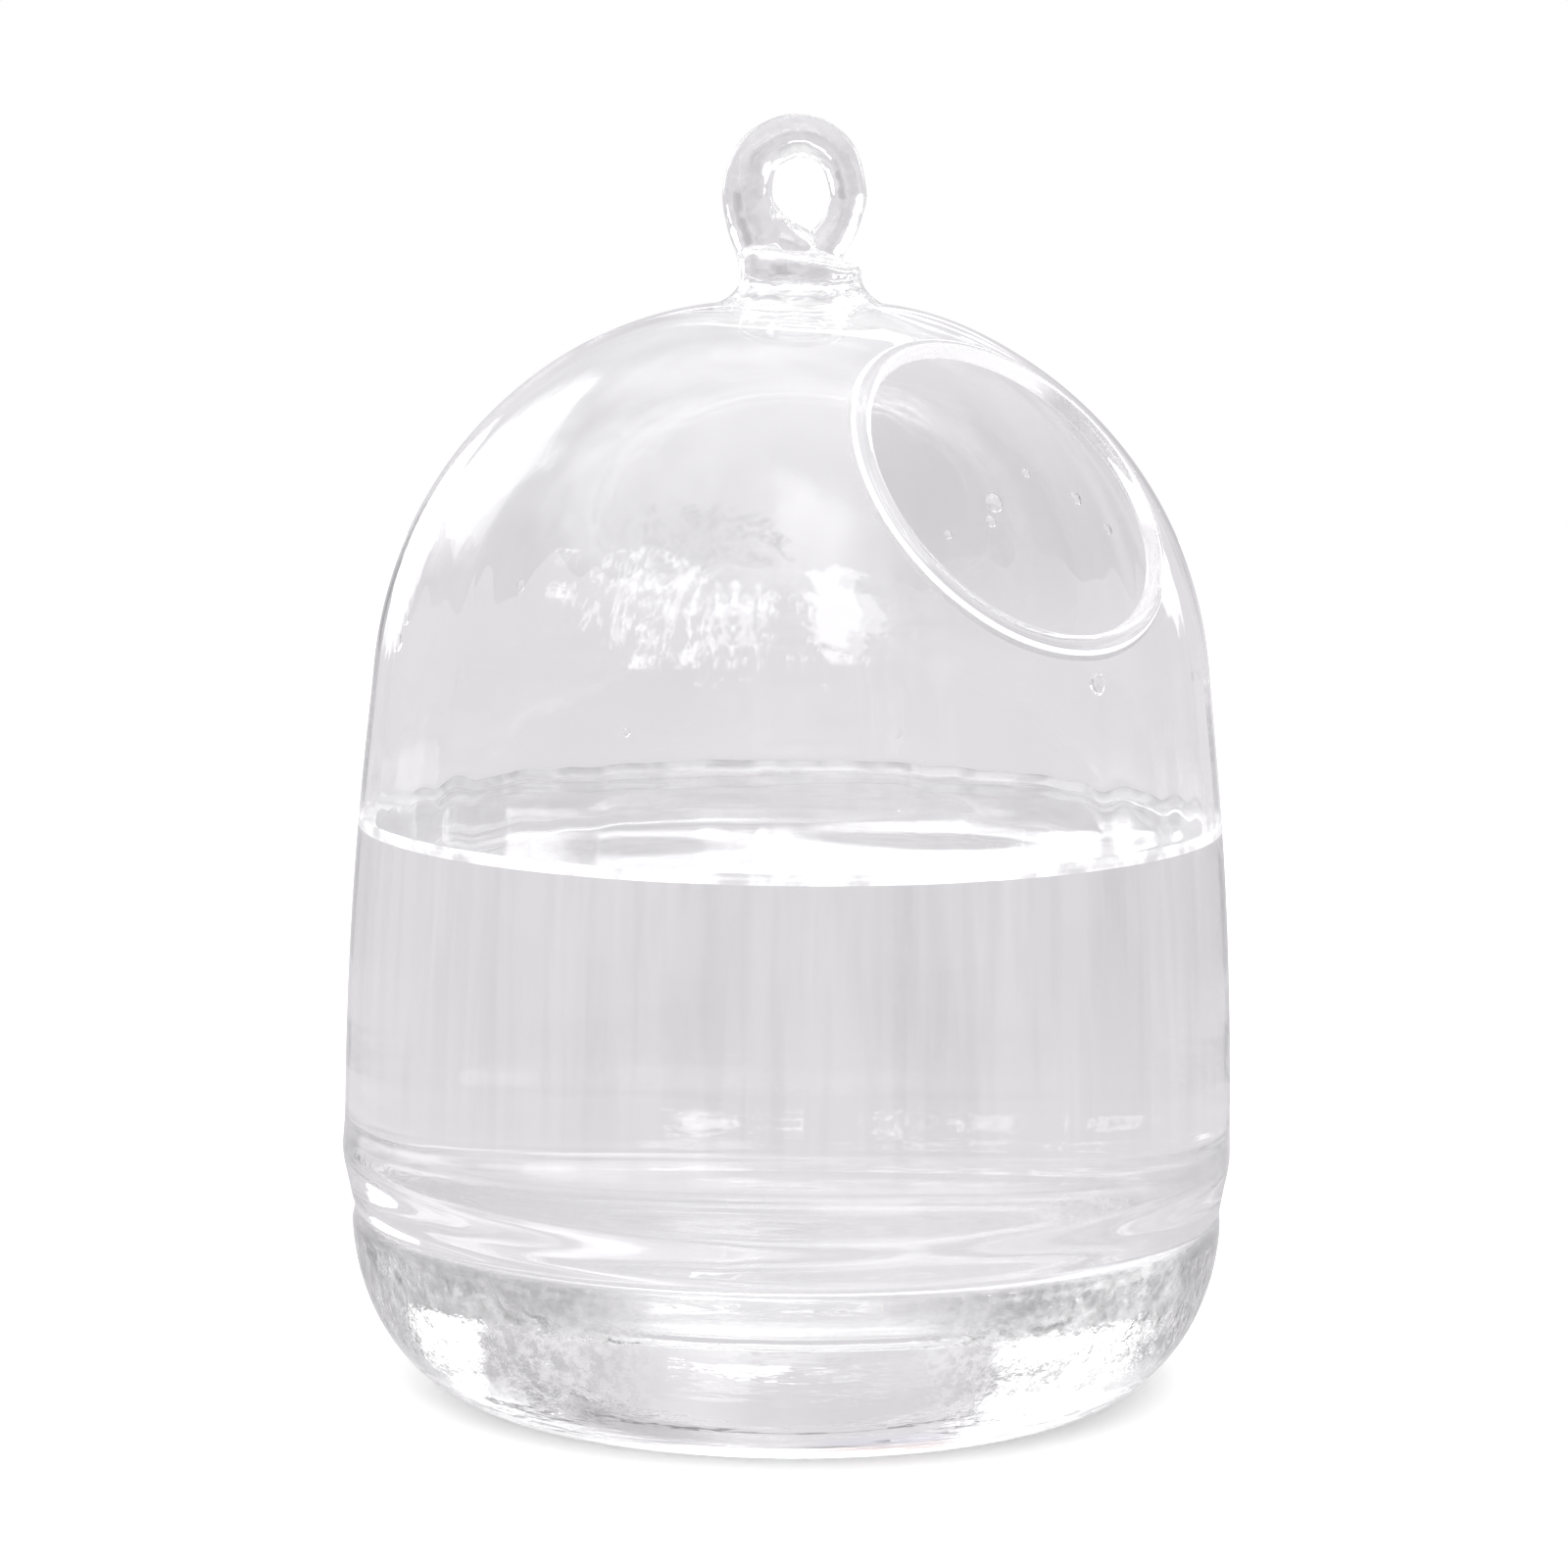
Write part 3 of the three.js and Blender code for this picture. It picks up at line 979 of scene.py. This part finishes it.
def make_drops():
    """Water drops on the inside of the wall and dome. Each is a flattened cap whose height falls off as
    the root of 1 - u squared, a little longer downwards, on a back that is sunk into the glass."""
    thickness = 0.55  # of the cap, as a share of its radius
    hang = 1.35  # its length downwards, as a share of its radius
    sunk = 0.12 * MM
    profile = joined(*body_inside())
    slope = np.gradient(profile[:, 0], profile[:, 1])
    u = np.sin(np.linspace(0, pi / 2, 12))[:, None, None]
    phi = np.linspace(0, 2 * pi, 32, endpoint=False)[None, :, None]
    long = np.where(np.sin(phi) < 0, hang, 1.0)
    shell = Shell()
    for azimuth, height, radius in DROPS:
        turn = radians(azimuth)
        z = height * MM
        size = radius * MM
        lean = np.interp(z, profile[:, 1], slope)
        away = np.interp(z, profile[:, 1], profile[:, 0]) + inside_bump(turn, z)
        level = np.array([-sin(turn), cos(turn), 0])
        up = np.array([lean * cos(turn), lean * sin(turn), 1]) / np.hypot(1, lean)
        inward = np.cross(up, level)
        centre = np.array([away * cos(turn), away * sin(turn), z])
        spread = centre + u * (np.cos(phi) * level + long * np.sin(phi) * up) * size
        cap = spread + np.sqrt(1 - u**2) * thickness * size * inward
        back = spread - sunk * inward
        shell.add(np.vstack([cap, back[::-1]]))
    return shell.build("water_drops", [drop_clear])


# Stage, light and camera


GLASS_TONE = (0.775, 0.76, 0.783)  # the pale room that shows through and on the glass

# The windows that show on and through the glass: brightness, then what dapple takes from azimuth on
WINDOWS = (
    (3.0, -77, 30, 6.5, 11.5, 14, 0.8, {}),
    (3.4, -128, 31, 27, 15.5, 9, 0.7, {"broken": 0.95}),
    (1.9, 86.2, 10.6, 6, 1.4, 22, 0.4, {"soft": 0.5}),
    (0.8, 93.4, 10.2, 1.6, 1.2, 40, 0.4, {"soft": 0.7}),
    (1.0, 136, 27, 15, 14, 6, 0.3, {"soft": 0.25}),
    (1.2, 40, 30, 9, 9, 9, 0.3, {}),
    (2.6, 48, 12, 8, 8, 12, 0.3, {}),
    (1.6, 121, 7.5, 13, 8, 12, 0.4, {}),
    (1.15, -100, 80, 44, 40, 4, 0.35, {"soft": 0.5, "detail": 1.5}),
    (1.8, -84, 54, 11, 17, 7, 0.4, {"soft": 0.5, "detail": 3}),
)


def glass_rays(tree):
    """1 for what shows through or on the glass, 0 for what the camera sees straight."""
    through = tree.node("ShaderNodeLightPath", out="Is Transmission Ray")
    on = tree.node("ShaderNodeLightPath", out="Is Glossy Ray")
    return through.math("MAXIMUM", through, on)


def make_stage():
    """A round pale floor, 0.2 mm under the foot. The camera sees it lifted to white, and it keeps the
    bowl's shadow. The glass shows it as a glow in the tone of the room, without real shadow, with painted
    shade from the front to just behind the bowl, darker at one place of its far edge, and a painted pool
    of the light that the bowl throws behind itself."""
    floor_radius = 1.7
    floor_height = -0.2 * MM
    material = bpy.data.materials.new("pale_floor")
    tree = Tree(material)
    diffuse = tree.node("ShaderNodeBsdfDiffuse", {}, {"Color": (0.8, 0.8, 0.8, 1)})
    ray = tree.node("ShaderNodeLightPath", out="Is Camera Ray")
    lift = tree.node("ShaderNodeEmission", {}, {"Color": tree.grey(ray * 0.35)})
    straight = tree.node("ShaderNodeAddShader", {}, {0: diffuse, 1: lift})
    place = tree.place()
    x, y = tree.axes(place)[:2]
    flecks = smooth_between(tree.noise(tree.stretched(place, (1, 0.35, 1)), 42, 5), 0.4, 0.6)
    # Painted pool of light that the bowl would throw on the floor behind itself, in flecks.
    painted_caustic = zone(y, (0.08, 0.13), (0.2, 0.26)) * zone(x, (-0.002, 0.005), (0.05, 0.07)) * flecks
    # Painted shade on the floor from the front to just behind the bowl.
    near = 1 - smooth_between(y, 0.11, 0.17)
    edge = smooth_between(y, 1.15, 1.7) * zone(x, (-0.1, 0.08), (0.08, 0.26))
    share = tree.grey(painted_caustic * 0.4 + 1.0 - near * 0.12 - edge * 0.115)
    tone = tree.mixed("MULTIPLY", 1.0, (*GLASS_TONE, 1), share)
    shown = tree.node("ShaderNodeEmission", {}, {"Color": tone})
    tree.output(tree.node("ShaderNodeMixShader", {}, {0: glass_rays(tree), 1: straight, 2: shown}))
    shell = Shell()
    shell.add(turned(line((floor_radius, floor_height), (0, floor_height), 8)))
    floor = shell.build("floor", [material])


def dapple(tree, place, azimuth, elevation, wide, high, scale, ragged, broken=0, soft=0.12, detail=6):
    """Light of a window with ragged edges: 1 inside an ellipse of directions whose distance from its
    middle is shaken by noise, and broken into flecks where broken isn't 0. wide and high are half its
    width and height, soft is the half width of its edge. Angles are in degrees."""
    turn = radians(azimuth)
    rise = radians(elevation)
    ahead = np.array([cos(rise) * cos(turn), cos(rise) * sin(turn), sin(rise)])
    side = np.array([-sin(turn), cos(turn), 0])

    def dot(axis):
        values = {0: place, 1: axis.tolist()}
        return tree.node("ShaderNodeVectorMath", {"operation": "DOT_PRODUCT"}, values, out="Value")

    u = dot(side / sin(radians(wide)))
    v = dot(np.cross(ahead, side) / sin(radians(high)))
    far = u.math("SQRT", u * u + v * v)
    shaken = far + (tree.noise(place, scale, detail, 0.62) - 0.5) * (4 * ragged)
    inside = 1 - smooth_between(shaken, 1 - soft, 1 + soft)
    inside = inside * smooth_between(dot(ahead), 0.5, 0.6)
    if broken:
        tall = tree.stretched(place, (1.5, 1.5, 0.65))
        flecks = smooth_between(tree.noise(tall, scale * 1.3, detail, 0.68), 0.49, 0.57)
        inside = inside * (1 - broken + flecks * broken)
    return inside


def make_world():
    """White to the camera. Glass shows the pale room, which is brighter overhead and faintly clouded. In
    it are the windows, dark gaps across the high ones, and two dim patches at the horizon behind."""
    world = bpy.data.worlds.new("studio")
    bpy.context.scene.world = world
    tree = Tree(world)
    place = tree.node("ShaderNodeTexCoord", out="Generated")
    low = tuple(0.97 * part for part in GLASS_TONE)
    stops = [(0.0, low), (0.53, low), (0.62, GLASS_TONE), (0.8, (0.95, 0.95, 0.95)), (1.0, (1, 1, 1))]
    room = tree.ramp(tree.axes(place)[2] * 0.5 + 0.5, stops)
    clouds = smooth_between(tree.noise(place, 3.2, 5), 0.3, 0.7)
    room = tree.mixed("MULTIPLY", 1.0, room, tree.grey(clouds * 0.22 + 0.89))
    glow = sum(dapple(tree, place, *shape, **more) * light for light, *shape, more in WINDOWS)
    gaps = dapple(tree, place, -124, 52, 25, 8, 9, 0.35, 0.9, detail=3)
    beyond = dapple(tree, place, 87, -4, 3.5, 1.6, 8, 0.0, soft=1.0)
    under = dapple(tree, place, 74, 2, 10, 4, 12, 0.4, soft=0.4)
    glow = glow * (1 - gaps * 0.9) - gaps * 0.12 - beyond * 0.1 - under * 0.16
    lit = tree.mixed("ADD", 1.0, room, tree.grey(glow))
    ray = tree.node("ShaderNodeLightPath", out="Is Camera Ray")
    tone = tree.mixed("MIX", ray, lit, (1, 1, 1, 1))
    tree.output(tree.node("ShaderNodeBackground", {}, {"Color": tone, "Strength": 1.0}))


def make_light():
    """One large softbox behind on the left, where a window is. It faces a point on the bowl's axis, and
    wide and high are the angles that it takes up there."""
    turn = radians(138)
    rise = radians(30)
    wide = radians(26)
    high = radians(24)
    brightness = 0.7
    distance = 1.2
    target = np.array([0, 0, 0.1])
    lamp = bpy.data.lights.new("rear_left_softbox", "AREA")
    lamp.shape = "RECTANGLE"
    lamp.size = 2 * distance * sin(wide / 2)
    lamp.size_y = 2 * distance * sin(high / 2)
    lamp.energy = brightness * lamp.size * lamp.size_y * pi
    lamp_object = bpy.data.objects.new("rear_left_softbox", lamp)
    bpy.context.scene.collection.objects.link(lamp_object)
    back = np.array([cos(rise) * cos(turn), cos(rise) * sin(turn), sin(rise)])
    side = np.array([-sin(turn), cos(turn), 0])
    axes = Matrix(np.c_[side, np.cross(back, side), back].tolist()).to_4x4()
    lamp_object.matrix_world = Matrix.Translation(target + distance * back) @ axes


def make_camera():
    """The photograph's view, fitted to the bowl's outline: 0.9 m in front of the axis, pitched down and
    rolled a little. Angles are in degrees."""
    pitch = -7.5
    roll = 0.55
    camera = bpy.data.cameras.new("camera")
    camera.lens = 123.6
    camera.sensor_width = 36
    camera.clip_start = 0.05
    camera_object = bpy.data.objects.new("camera", camera)
    bpy.context.scene.collection.objects.link(camera_object)
    place = Matrix.Translation((-0.00107, -0.9, 0.22023))
    tilt = Matrix.Rotation(radians(90 + pitch), 4, "X")
    camera_object.matrix_world = place @ tilt @ Matrix.Rotation(radians(roll), 4, "Z")
    bpy.context.scene.camera = camera_object


make_camera()
make_stage()
make_world()
make_light()
pieces = {
    make_base(): ("base", "clear_glass"),
    make_wall(): ("body_wall", "clear_glass"),
    make_dome(): ("dome", "clear_glass"),
    make_lip(): ("mouth_lip", "clear_glass"),
    make_neck(): ("neck", "clear_glass"),
    make_loop(): ("hanger_loop", "clear_glass"),
    make_water(): ("water", "water"),
}
for piece, (node, slot) in pieces.items():
    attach(piece, "root")
    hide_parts(node)
drops = make_drops()
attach(drops, "root")

scene = bpy.context.scene
scene.view_settings.view_transform = "Standard"
scene.cycles.max_bounces = 80
scene.cycles.transmission_bounces = 80
scene.cycles.glossy_bounces = 80
scene.cycles.transparent_max_bounces = 80
